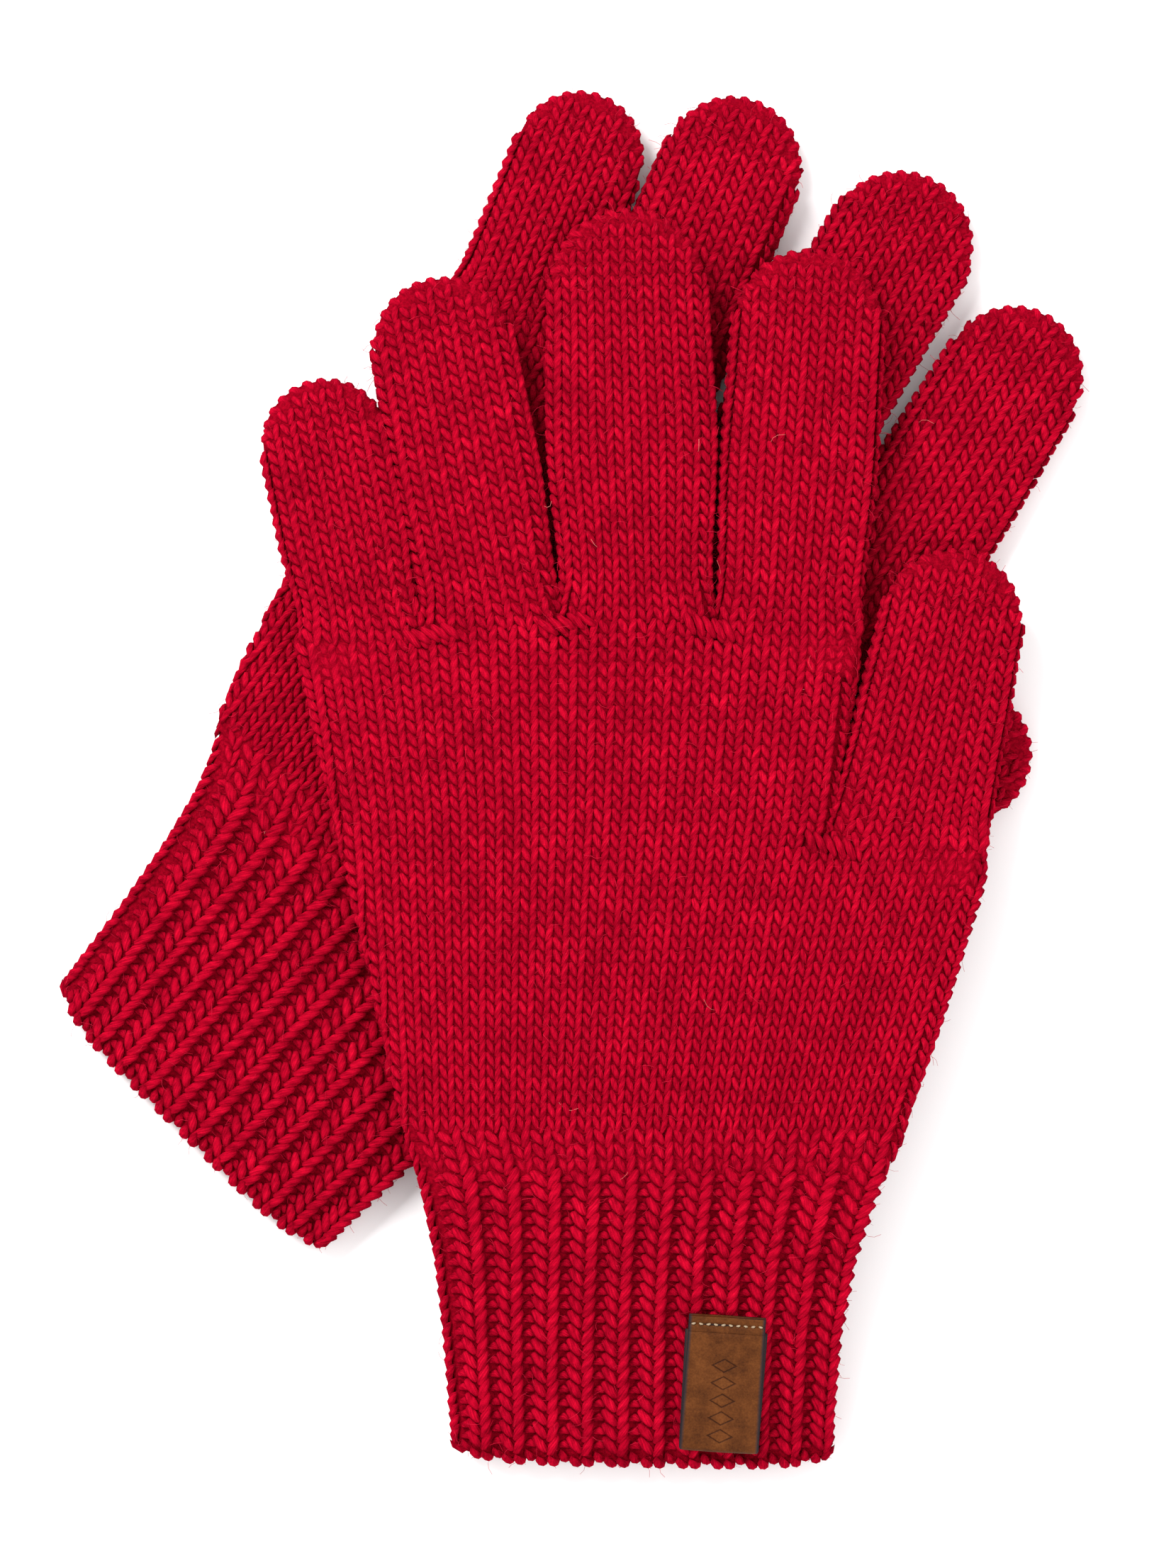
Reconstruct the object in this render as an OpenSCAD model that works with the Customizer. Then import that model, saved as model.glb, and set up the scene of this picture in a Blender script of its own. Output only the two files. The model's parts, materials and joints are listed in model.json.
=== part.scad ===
// A pair of knitted gloves lying flat, one on top of the other.
// +X is to the right, +Y runs from the upper glove's cuff to its fingertips, +Z is up from the table.
// Both gloves are drawn in one glove frame; the lower one is then turned and moved on the table.

/* [Fabric] */
// Thickness of one layer of knitted fabric
wall = 2.1; // [1.6:0.1:2.4]
// Height of the empty space inside the flattened hand and fingers
inside_h = 4.6; // [4.3:0.1:5]
// Height of the empty space inside the upper cuff, which stands a little more open
cuff_inside_h = 6.4; // [5:0.1:6.6]
// Clear space between the two gloves
stack_gap = 0.3; // [0.2:0.1:1]
// Clear space between the hand and the root of each finger
root_gap = 1.6; // [1.2:0.1:2]

/* [Hand and cuff] */
// Width of the hand at the wrist, where the ribs start
wrist_w = 87; // [84:1:90]
// Width of the cuff at its hem
hem_w = 70.7; // [66:0.1:74]
// Length of the upper glove's ribbed cuff with its hem
cuff_len = 56.5; // [50:0.5:60]
// Length of the lower glove's cuff, which is pushed together a little
lower_cuff_len = 52; // [50:0.5:60]
// Length of the hem band, the cast-on edge
hem_len = 4; // [3:0.5:6]
// Length of the lower cuff's end that can be turned up
turn_up_len = 12; // [10:0.5:12]

/* [Fingers] */
// Length of each finger from its root to the centre of its round tip: little, ring, middle, index, thumb
finger_len = [36.2, 51, 60, 56.4, 43.5]; // [30:0.1:62]
// Width at the root of each finger
root_w = [21, 23, 26, 24.6, 25]; // [20:0.1:26]
// Width near the tip of each finger
tip_w = [21.6, 24, 28, 26, 25.6]; // [20:0.1:28]

/* [Lower glove] */
// How far the lower glove is turned clockwise
lower_turn = 41; // [39:0.5:43]
// How far the lower glove is moved along its own width
lower_move_x = -25.5; // [-27:0.5:-24]
// How far the lower glove is moved along its own length
lower_move_y = 30.5; // [30:0.5:33]

/* [Label] */
// Width of the leather label
label_w = 14; // [10:0.5:16]
// Length of the leather label from its sewn edge to its fold
label_len = 25.4; // [20:0.1:26]
// Thickness of the leather
leather_t = 1; // [0.8:0.1:1.1]
// Length of the sewn edge, which stays on the cuff
label_head_len = 2.8; // [2:0.1:4]
// How far the label is turned clockwise on the cuff
label_turn = 3.6; // [0:0.1:6]
// Number of thread stitches along the sewn edge
stitch_count = 10; // [6:1:12]

/* [Hidden] */
$fn = 48;
yarn_red = [0.69, 0.03, 0.14];
yarn_dark = [0.55, 0.02, 0.1];
leather_brown = [0.44, 0.26, 0.13];

glove_t = inside_h + 2 * wall;
upper_z = glove_t + stack_gap;
cuff_t = cuff_inside_h + 2 * wall;
body_centre = [1.13, 0.95];

// Hand outline in the glove frame
wrist_y = -69;
hem_y = wrist_y - cuff_len;
lower_hem_y = wrist_y - lower_cuff_len;
wrist_x = 16.1;
hem_x = 13.55;
palm_left = -47.3;
palm_right = 50.5;
thumb_crotch = [46.5, -9];
thumb_side = [75.6, -19];
knuckle_line = [[-47.3, 18.8], [-25, 20.2], [0, 22.4], [26, 21.6], [50.5, 19.4]];

// Finger roots: x, y and lean to the left in degrees, from little finger to thumb
upper_roots = [[-36.6, 25, 12], [-13.2, 27.6, 10.7], [12.6, 29, 1.7], [39.8, 26.2, -3.9], [60.8, -13.5, -12]];
lower_roots = [[-36.5, 23.5, 18.8], [-10.5, 25.5, 17.7], [18, 26.5, 11.3], [46.2, 23.5, 6.9], [62, -16, -18.7]];
lower_len_scale = [0.94, 0.96, 0.94, 0.95, 0.87];
thumb = 4;

// Crotch stitches: x, y and slant of the short row between two fingers
crotches = [[-25.5, 14.5, 20], [-1, 16.5, 12], [26, 15.5, -12]];
crotch_size = [9, 2.6, 0.8];

// Upper wrist fold line and the slope of the cuff down to the table
cuff_root_gap = 0.4;
upper_fold_y = wrist_y - cuff_t / 2 - cuff_root_gap;
upper_fold_z = upper_z + cuff_t / 2;
hem_clear = 0.2;
cuff_run = upper_fold_y - hem_y;
cuff_slope = asin((upper_fold_z - cuff_t / 2 - hem_clear) / cuff_run);
lower_fold_y = lower_hem_y + turn_up_len;

// Rounded edges are three stacked layers: inset from the outline, and depth below the surface
edge_steps = [[0, 2.2], [0.7, 0.9], [2, 0]];
far = 200;

// Sweeps a flat outline, which reads $inset, into a slab with eased edges
module eased_slab(t) {
    for (step = edge_steps) {
        $inset = step[0];
        translate([0, 0, step[1] - t / 2]) linear_extrude(t - 2 * step[1]) children();
    }
}

// The empty space inside a slab of the same outline
module inner_space(h) {
    $inset = wall;
    translate([0, 0, -h / 2]) linear_extrude(h) children();
}

// Keeps what lies ahead of a fold line along X, with a root as round as the fabric is thick
module round_root(t) {
    intersection() {
        children();
        union() {
            rotate([0, 90, 0]) cylinder(r = t / 2, h = far, center = true);
            translate([-far / 2, 0, -t]) cube([far, far, 2 * t]);
        }
    }
}

module hand_outline(overrun = 0) {
    i = $inset;
    polygon(concat(
        [[wrist_x - wrist_w / 2 + i, wrist_y - overrun]],
        [for (p = knuckle_line) [max(p[0], palm_left + i) - (p[0] == palm_right ? i : 0), p[1] + overrun]],
        [[thumb_crotch[0] - i, thumb_crotch[1]], [thumb_side[0] - i, thumb_side[1] + overrun]],
        [[wrist_x + wrist_w / 2 - i, wrist_y - overrun]]
    ));
}

module finger_outline(w0, w1, len, back) {
    i = $inset;
    polygon([[i - w0 / 2, -back], [w0 / 2 - i, -back], [w1 / 2 - i, len], [i - w1 / 2, len]]);
    translate([0, len]) circle(r = w1 / 2 - i);
}

// The cuff narrows and shifts evenly from the wrist to a hem that is len below it
function cuff_half(y, len) = (wrist_w - (wrist_w - hem_w) * (wrist_y - y) / len) / 2;
function cuff_mid(y, len) = wrist_x - (wrist_x - hem_x) * (wrist_y - y) / len;

module cuff_outline(y0, y1, len) {
    i = $inset;
    polygon([
        [cuff_mid(y0, len) - cuff_half(y0, len) + i, y0], [cuff_mid(y0, len) + cuff_half(y0, len) - i, y0],
        [cuff_mid(y1, len) + cuff_half(y1, len) - i, y1], [cuff_mid(y1, len) - cuff_half(y1, len) + i, y1]
    ]);
}

// One open tube of a cuff of length len, between two places along it
module cuff_tube(y0, y1, len, h) {
    overrun = 1;
    difference() {
        eased_slab(h + 2 * wall) cuff_outline(y0, y1, len);
        inner_space(h) cuff_outline(y0 - overrun, y1 + overrun, len);
    }
}

// Keeps what lies below a fold line at height y, with a round root
module folds_at(y, t) {
    translate([0, y, 0]) rotate([0, 0, 180]) round_root(t) rotate([0, 0, 180]) translate([0, -y, 0]) children();
}

module at_root(root) {
    translate([root[0], root[1], 0]) rotate([0, 0, root[2]]) children();
}

// The room that a finger's root needs in the end of the hand
module root_room(w) {
    back = glove_t / 2 + root_gap;
    translate([-w / 2 - root_gap, -back, -glove_t]) cube([w + 2 * root_gap, back + 30, 2 * glove_t]);
}

module crotch_bars() {
    for (c = crotches) {
        translate([c[0], c[1], glove_t / 2 - crotch_size[2] / 2])
            rotate([0, 0, c[2]]) cube(crotch_size, center = true);
    }
}

module hand_tube(roots) {
    difference() {
        eased_slab(glove_t) hand_outline();
        inner_space(inside_h) hand_outline(overrun = 3);
        for (n = [0:len(roots) - 1]) at_root(roots[n]) root_room(root_w[n]);
        crotch_bars();
    }
}

module finger_tube(n, len) {
    round_root(glove_t) difference() {
        eased_slab(glove_t) finger_outline(root_w[n], tip_w[n], len, glove_t / 2);
        inner_space(inside_h) finger_outline(root_w[n], tip_w[n], len, glove_t);
    }
}

// Places: the lower glove on the table, the upper glove on it, the upper cuff sloping down
module lower_place() {
    translate([body_centre[0], body_centre[1], glove_t / 2])
        rotate([0, 0, -lower_turn]) translate([lower_move_x, lower_move_y, 0]) children();
}

module upper_place() {
    translate([body_centre[0], body_centre[1], upper_z + glove_t / 2]) children();
}

module upper_cuff_place() {
    translate([body_centre[0], body_centre[1] + upper_fold_y, upper_fold_z])
        rotate([cuff_slope, 0, 0]) translate([0, -upper_fold_y, 0]) children();
}

module label_place() {
    upper_cuff_place() translate([29, upper_fold_y - 21.7, cuff_t / 2]) rotate([0, 0, -label_turn]) children();
}

module lower_hand() color(yarn_red) lower_place() hand_tube(lower_roots);

module lower_cuff() color(yarn_red) lower_place()
    cuff_tube(lower_fold_y + glove_t / 2 + cuff_root_gap, wrist_y, lower_cuff_len, inside_h);

module lower_cuff_end() color(yarn_red) lower_place() folds_at(lower_fold_y, glove_t)
    cuff_tube(lower_hem_y + hem_len, lower_fold_y + glove_t / 2, lower_cuff_len, inside_h);

module lower_hem() color(yarn_dark) lower_place()
    cuff_tube(lower_hem_y, lower_hem_y + hem_len, lower_cuff_len, inside_h);

module lower_crotch_stitches() color(yarn_dark) lower_place() crotch_bars();

module lower_finger(n) color(yarn_red) lower_place()
    at_root(lower_roots[n]) finger_tube(n, finger_len[n] * lower_len_scale[n]);

module upper_hand() color(yarn_red) upper_place() hand_tube(upper_roots);

module upper_cuff() color(yarn_red) upper_cuff_place() folds_at(upper_fold_y, cuff_t)
    cuff_tube(hem_y + hem_len, upper_fold_y + cuff_t / 2, cuff_len, cuff_inside_h);

module upper_hem() color(yarn_dark) upper_cuff_place()
    cuff_tube(hem_y, hem_y + hem_len, cuff_len, cuff_inside_h);

module upper_crotch_stitches() color(yarn_dark) upper_place() crotch_bars();

module upper_finger(n) color(yarn_red) upper_place() at_root(upper_roots[n]) finger_tube(n, finger_len[n]);

// Sewn edge of the folded leather strip, two layers pressed together
label_lift = 0.3;
fold_slit = 0.3;
loop_t = 2 * leather_t + fold_slit;

module label_head() color(leather_brown) label_place()
    translate([-label_w / 2, -label_head_len, 0]) cube([label_w, label_head_len, loop_t + label_lift]);

// The hanging loop: two layers joined by a round fold at the free end
module label_loop() color(leather_brown) label_place()
    translate([-label_w / 2, -label_head_len - 0.1, label_lift + loop_t / 2]) rotate([90, 0, 90])
        linear_extrude(label_w) difference() {
            union() {
                translate([-(label_len - label_head_len - loop_t / 2), -loop_t / 2])
                    square([label_len - label_head_len - loop_t / 2, loop_t]);
                translate([-(label_len - label_head_len - loop_t / 2), 0]) circle(r = loop_t / 2);
            }
            translate([-(label_len - label_head_len - loop_t / 2), -fold_slit / 2])
                square([label_len, fold_slit]);
        }

module label_thread() color([0.2, 0.12, 0.07]) label_place()
    for (k = [0:stitch_count - 1]) {
        pitch = label_w / stitch_count;
        translate([(k + 0.5) * pitch - label_w / 2 - 0.45, -label_head_len / 2, label_lift + loop_t + 0.25])
            rotate([0, 90, 0]) cylinder(r = 0.25, h = 0.9);
    }

lower_hand();
lower_cuff();
lower_cuff_end();
lower_hem();
lower_crotch_stitches();
lower_finger(0);  // lower_little
lower_finger(1);  // lower_ring
lower_finger(2);  // lower_middle
lower_finger(3);  // lower_index
lower_finger(thumb);  // lower_thumb
upper_hand();
upper_cuff();
upper_hem();
upper_crotch_stitches();
upper_finger(0);  // upper_little
upper_finger(1);  // upper_ring
upper_finger(2);  // upper_middle
upper_finger(3);  // upper_index
upper_finger(thumb);  // upper_thumb
label_head();
label_loop();
label_thread();
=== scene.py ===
# %% [markdown]
# # A pair of knitted gloves
# Knitwear is not a smooth surface with a pattern on it. It is one yarn bent into thousands of loops, and the
# light finds every loop. So this lesson plants real stitches: one small mesh of a single stitch, repeated by
# Geometry Nodes over a thin ground of felted wool. The frame gives the bodies that the pieces ride on.

# %% Load the frame
import json
import math

import bmesh
import bpy
import numpy as np
from mathutils import Matrix, Vector

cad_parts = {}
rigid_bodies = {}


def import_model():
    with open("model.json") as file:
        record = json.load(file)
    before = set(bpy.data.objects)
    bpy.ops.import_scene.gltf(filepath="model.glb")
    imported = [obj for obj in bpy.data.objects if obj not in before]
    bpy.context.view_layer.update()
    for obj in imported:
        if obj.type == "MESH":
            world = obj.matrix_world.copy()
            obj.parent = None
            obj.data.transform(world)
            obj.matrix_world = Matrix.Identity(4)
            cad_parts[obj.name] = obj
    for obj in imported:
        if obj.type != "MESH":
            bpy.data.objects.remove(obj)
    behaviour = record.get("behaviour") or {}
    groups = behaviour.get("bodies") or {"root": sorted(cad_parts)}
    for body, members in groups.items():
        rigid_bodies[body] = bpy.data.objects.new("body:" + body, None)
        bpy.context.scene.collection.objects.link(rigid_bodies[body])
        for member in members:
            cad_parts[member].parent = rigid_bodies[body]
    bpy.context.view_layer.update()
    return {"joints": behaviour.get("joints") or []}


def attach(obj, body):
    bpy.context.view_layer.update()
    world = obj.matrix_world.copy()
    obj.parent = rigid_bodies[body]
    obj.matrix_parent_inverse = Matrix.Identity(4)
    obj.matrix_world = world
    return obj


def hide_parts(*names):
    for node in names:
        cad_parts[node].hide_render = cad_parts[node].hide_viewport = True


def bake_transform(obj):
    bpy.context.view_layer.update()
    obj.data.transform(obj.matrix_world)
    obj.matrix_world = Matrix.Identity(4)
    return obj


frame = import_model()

MM = 0.001
JOINTS = {j["name"]: j for j in frame["joints"]}

# %% [markdown]
# ## Camera
# The pair is looked at from straight above. A long lens keeps the sides of the thick wool from leaning out.
# The lens follows from the camera's height and from how much of the table it should see.

# %% Camera
VIEW_CENTRE = (0.0048, 0.0003)
VIEW_HEIGHT = 0.2854
CAMERA_Z = 1.61
SUBJECT_Z = 0.012
SENSOR_MM = 36.0

camera_data = bpy.data.cameras.new("Camera")
camera_data.sensor_width = SENSOR_MM
camera_data.lens = SENSOR_MM * (CAMERA_Z - SUBJECT_Z) / VIEW_HEIGHT
camera = bpy.data.objects.new("Camera", camera_data)
camera.location = (*VIEW_CENTRE, CAMERA_Z)
scene = bpy.context.scene
scene.collection.objects.link(camera)
scene.camera = camera
print("lens in mm:", round(camera_data.lens, 1))

# %% [markdown]
# ## Light
# One broad lamp from the upper left draws the stitches, a weaker one fills from the lower right, and a bright
# white world lifts the shadows. Wide lamps give soft shadows, so the wool doesn't look like plastic.

# %% Light
def softbox(name, place, size, watts):
    """A square lamp that looks at the middle of the gloves."""
    data = bpy.data.lights.new(name, "AREA")
    data.size = size
    data.energy = watts
    lamp = bpy.data.objects.new(name, data)
    lamp.location = place
    lamp.rotation_euler = Vector(place).to_track_quat("Z", "Y").to_euler()
    scene.collection.objects.link(lamp)


softbox("key_lamp", (-0.75, 0.85, 1.3), 0.7, 30)
softbox("fill_lamp", (0.9, -0.5, 1.2), 1.2, 9)
world = bpy.data.worlds.new("Studio")
world.use_nodes = True
backdrop = world.node_tree.nodes["Background"]
backdrop.inputs["Color"].default_value = (1, 1, 1, 1)
backdrop.inputs["Strength"].default_value = 1.15
scene.world = world
scene.view_settings.view_transform = "Standard"


# %% [markdown]
# ## Materials
# Every finish is built from nodes. A helper wires a node's inputs by name, so a recipe reads top to bottom:
# first the pattern, then the numbers made from it, then the colour and the bump, and last the shader.

# %% Node helpers
class Recipe:
    """A material whose nodes are added one after another."""

    def __init__(self, name):
        self.material = bpy.data.materials.new(name)
        self.material.use_nodes = True
        self.tree = self.material.node_tree
        self.shader = self.tree.nodes["Principled BSDF"]

    def node(self, kind, settings=None, **inputs):
        new = self.tree.nodes.new(kind)
        for key, value in (settings or {}).items():
            setattr(new, key, value)
        for key, value in inputs.items():
            self.feed(new.inputs[key.replace("_", " ")], value)
        return new

    def feed(self, socket, value):
        if isinstance(value, bpy.types.NodeSocket):
            self.tree.links.new(value, socket)
        else:
            socket.default_value = value

    def finish(self, **inputs):
        for key, value in inputs.items():
            self.feed(self.shader.inputs[key.replace("_", " ")], value)
        return self.material

    def sum(self, operation, a, b):
        new = self.tree.nodes.new("ShaderNodeMath")
        new.operation = operation
        self.feed(new.inputs[0], a)
        self.feed(new.inputs[1], b)
        return new.outputs[0]

    def ramp(self, factor, stops):
        new = self.tree.nodes.new("ShaderNodeValToRGB")
        self.feed(new.inputs["Fac"], factor)
        ends = new.color_ramp.elements
        while len(ends) < len(stops):
            ends.new(0.5)
        for end, (place, colour) in zip(ends, stops):
            end.position = place
            end.color = (*colour, 1)
        return new.outputs["Color"]

    def noise(self, coordinates, scale, detail=3, rough=0.55):
        return self.node("ShaderNodeTexNoise", Vector=coordinates, Scale=scale, Detail=detail,
                         Roughness=rough).outputs["Fac"]

    def objects(self):
        return self.node("ShaderNodeTexCoord").outputs["Object"]


# %% [markdown]
# ### Wool yarn
# The yarn is two strands twisted together, so slanting grooves run along every loop. Each stitch carries its
# own UV map, one way round the yarn and one way along it, and the grooves are a wave on that map. A number
# stored on each stitch changes its shade a little, because no two loops take dye or light the same. Wool has
# no gloss: its highlights are soft, so the shader's specular is off and a faint red sheen does the rest.

# %% Wool
WOOL_DEEP = (0.165, 0.0007, 0.0068)
WOOL_MID = (0.375, 0.0017, 0.0155)
WOOL_TOP = (0.66, 0.0044, 0.0285)
STRANDS = 2.0
TWISTS_ALONG = 3.0
BLACK_POINT = -0.97


def wool_yarn(name):
    """Streaks along the twist, fluff, a cloud over the cloth, a groove darkened as painted shade, a painted
    highlight on the crest and painted shade at the loop ends add up to one shade.
    """
    r = Recipe(name)
    uv = r.node("ShaderNodeUVMap", {"uv_map": "UVMap"}).outputs["UV"]
    parts = r.node("ShaderNodeSeparateXYZ", Vector=uv)
    around, along = parts.outputs["X"], parts.outputs["Y"]
    tint = r.node("ShaderNodeAttribute", {"attribute_name": "tint"}).outputs["Fac"]
    turns = r.sum("ADD", r.sum("MULTIPLY", around, STRANDS), r.sum("MULTIPLY", along, TWISTS_ALONG))
    groove = r.sum("MULTIPLY_ADD", r.sum("SINE", r.sum("MULTIPLY", turns, 2 * math.pi), 0.0), 0.5)
    hairs = r.sum("ADD", r.sum("MULTIPLY", around, 17.0), r.sum("MULTIPLY", along, 6.0))
    twisted = r.node("ShaderNodeCombineXYZ", X=hairs, Y=r.sum("MULTIPLY", along, 1.7),
                     Z=r.sum("MULTIPLY", tint, 40.0)).outputs["Vector"]
    streaks = r.noise(twisted, 1.0, 3, 0.6)
    fluff = r.noise(r.objects(), 3300, 3, 0.7)
    cloud = r.noise(r.objects(), 120, 2, 0.5)
    # Painted light: a cosine round the yarn makes its crest lighter and its underside darker in the colour.
    painted_crest_light = r.sum("COSINE", r.sum("MULTIPLY", r.sum("SUBTRACT", around, 0.25), 2 * math.pi), 0.0)
    # Painted shade: the yarn is coloured darker near both ends of each loop, where it dives under its
    # neighbours.
    end = r.sum("MINIMUM", along, r.sum("SUBTRACT", 1.0, along))
    painted_light_off_ends = r.sum("MINIMUM", r.sum("MULTIPLY", end, 4.5), 1.0)
    # Painted shade: the groove between the two strands darkens the colour as well as the bump.
    shade = r.sum("MULTIPLY_ADD", groove, 0.12)
    shade.node.inputs[2].default_value = BLACK_POINT
    for value, share in ((streaks, 1.25), (fluff, 0.45), (tint, 0.12), (cloud, 0.30), (painted_crest_light, 0.07),
                         (painted_light_off_ends, 0.18)):
        shade = r.sum("ADD", shade, r.sum("MULTIPLY", value, share))
    colour = r.ramp(shade, [(0.10, WOOL_DEEP), (0.50, WOOL_MID), (0.90, WOOL_TOP)])
    rough = r.sum("ADD", streaks, r.sum("MULTIPLY", fluff, 0.8))
    height = r.sum("ADD", r.sum("MULTIPLY", groove, 0.6), rough)
    bump = r.node("ShaderNodeBump", Height=height, Strength=0.8, Distance=0.00024)
    return r.finish(Base_Color=colour, Roughness=0.9, Normal=bump.outputs["Normal"], Specular_IOR_Level=0.0,
                    Sheen_Weight=0.06, Sheen_Roughness=0.5, Sheen_Tint=(1.0, 0.02, 0.1, 1))


def wool_ground(name):
    """The felted cloth between the stitches, coloured darker than the yarn as painted shade in the gaps, with
    a short nap.
    """
    r = Recipe(name)
    fibres = r.noise(r.objects(), 1500, 4, 0.7)
    # Painted shade: the ground's colour is kept darker than the yarn's, as the shade that falls into the gaps
    # between stitches.
    colour = r.ramp(fibres, [(0.3, (0.10, 0.0004, 0.004)), (0.75, (0.34, 0.0016, 0.013))])
    bump = r.node("ShaderNodeBump", Height=fibres, Strength=0.8, Distance=0.0004)
    return r.finish(Base_Color=colour, Roughness=0.95, Normal=bump.outputs["Normal"], Specular_IOR_Level=0.0)


def wool_fibre(name):
    """Loose fibres take the yarn's red, and only about four in a thousand are paler."""
    r = Recipe(name)
    tint = r.node("ShaderNodeAttribute", {"attribute_name": "tint"}).outputs["Fac"]
    colour = r.ramp(tint, [(0.0, (0.40, 0.003, 0.02)), (0.996, (0.50, 0.010, 0.035)),
                           (1.0, (0.62, 0.25, 0.20))])
    return r.finish(Base_Color=colour, Roughness=0.8, Specular_IOR_Level=0.05)


YARN = wool_yarn("Red wool yarn")
GROUND = wool_ground("Felted red ground")
FIBRE = wool_fibre("Loose wool fibre")
print("materials:", [m.name for m in (YARN, GROUND, FIBRE)])

# %% [markdown]
# ### Leather and thread
# The label is a brown hide strip. Its cut edges are inked, so they turn bluish grey, and its face has a fine
# grain and a blind-pressed row of lozenges. The strip carries a UV map in millimetres across and along it.

# %% Leather
LOZENGE = (2.6, 1.5)
LOZENGE_STEP = 3.3
LOZENGE_COUNT = 5
LOZENGE_START = 4.4
LOZENGE_ROWS = (LOZENGE_START, LOZENGE_START + LOZENGE_COUNT * LOZENGE_STEP)
LINE_AT = 0.82
LINE_SHARPNESS = 7.0


def leather(name):
    """A lozenge is where the shares of its half width and half height add up to one number."""
    r = Recipe(name)
    uv = r.node("ShaderNodeUVMap", {"uv_map": "UVMap"}).outputs["UV"]
    parts = r.node("ShaderNodeSeparateXYZ", Vector=uv)
    across, along = r.sum("ABSOLUTE", parts.outputs["X"], 0.0), parts.outputs["Y"]
    step = r.sum("DIVIDE", r.sum("SUBTRACT", along, LOZENGE_ROWS[0]), LOZENGE_STEP)
    cell = r.sum("MULTIPLY", r.sum("SUBTRACT", r.sum("FRACT", step, 0.0), 0.5), LOZENGE_STEP)
    wide_share = r.sum("DIVIDE", across, LOZENGE[0])
    high_share = r.sum("DIVIDE", r.sum("ABSOLUTE", cell, 0.0), LOZENGE[1])
    ring = r.sum("ADD", wide_share, high_share)
    off_line = r.sum("MULTIPLY", r.sum("ABSOLUTE", r.sum("SUBTRACT", ring, LINE_AT), 0.0), LINE_SHARPNESS)
    line = r.sum("SUBTRACT", 1.0, r.sum("MINIMUM", off_line, 1.0))
    below, above = r.sum("LESS_THAN", along, LOZENGE_ROWS[1]), r.sum("GREATER_THAN", along, LOZENGE_ROWS[0])
    inside = r.sum("MULTIPLY", above, below)
    pressed = r.sum("MULTIPLY", line, inside)
    edge = r.node("ShaderNodeAttribute", {"attribute_name": "edge"}).outputs["Fac"]
    place = r.objects()
    grain = r.noise(place, 2600, 4, 0.65)
    cloud = r.noise(place, 260, 3, 0.6)
    shade = r.sum("ADD", r.sum("MULTIPLY", grain, 0.45), r.sum("MULTIPLY", cloud, 0.55))
    shade = r.sum("SUBTRACT", shade, r.sum("MULTIPLY", pressed, 0.30))
    hide = r.ramp(shade, [(0.28, (0.030, 0.0075, 0.0016)), (0.5, (0.082, 0.0238, 0.0050)),
                          (0.70, (0.135, 0.042, 0.0095))])
    mix = r.node("ShaderNodeMix", {"data_type": "RGBA"})
    r.feed(mix.inputs[0], edge)
    r.feed(mix.inputs[6], hide)
    r.feed(mix.inputs[7], (0.020, 0.016, 0.019, 1))
    height = r.sum("SUBTRACT", r.sum("MULTIPLY", grain, 0.35), pressed)
    bump = r.node("ShaderNodeBump", Height=height, Strength=0.6, Distance=0.00018)
    return r.finish(Base_Color=mix.outputs[2], Roughness=0.62, Normal=bump.outputs["Normal"],
                    Specular_IOR_Level=0.07)


LEATHER = leather("Brown label leather")
thread_recipe = Recipe("Waxed label thread")
THREAD = thread_recipe.finish(Base_Color=(0.30, 0.22, 0.14, 1), Roughness=0.55, Specular_IOR_Level=0.4)
# Painted shade: the near-black finish of the strip laid in the dent along the needle line.
groove_shade_recipe = Recipe("Painted shade in needle dent")
GROOVE_SHADE = groove_shade_recipe.finish(Base_Color=(0.018, 0.010, 0.009, 1), Roughness=0.8, Specular_IOR_Level=0.1)
print("label finishes:", [m.name for m in (LEATHER, THREAD, GROOVE_SHADE)])

# %% [markdown]
# ## The gauge and one stitch
# A stitch column is a wale and a stitch row is a course. One stitch of stocking knit shows as a V. In this
# yarn the twist pulls the V out of balance: its left leg is a short slanting drop, and its right leg stands
# almost upright and joins the next one above into a bright line. A stitch is repeated thousands of times, so
# each leg of its V has few faces: seven sides round, and three rings between two pointed ends.

# %% Gauge
WALE = 3.25
COURSE = 2.32
RING_SIDES = 7


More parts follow.
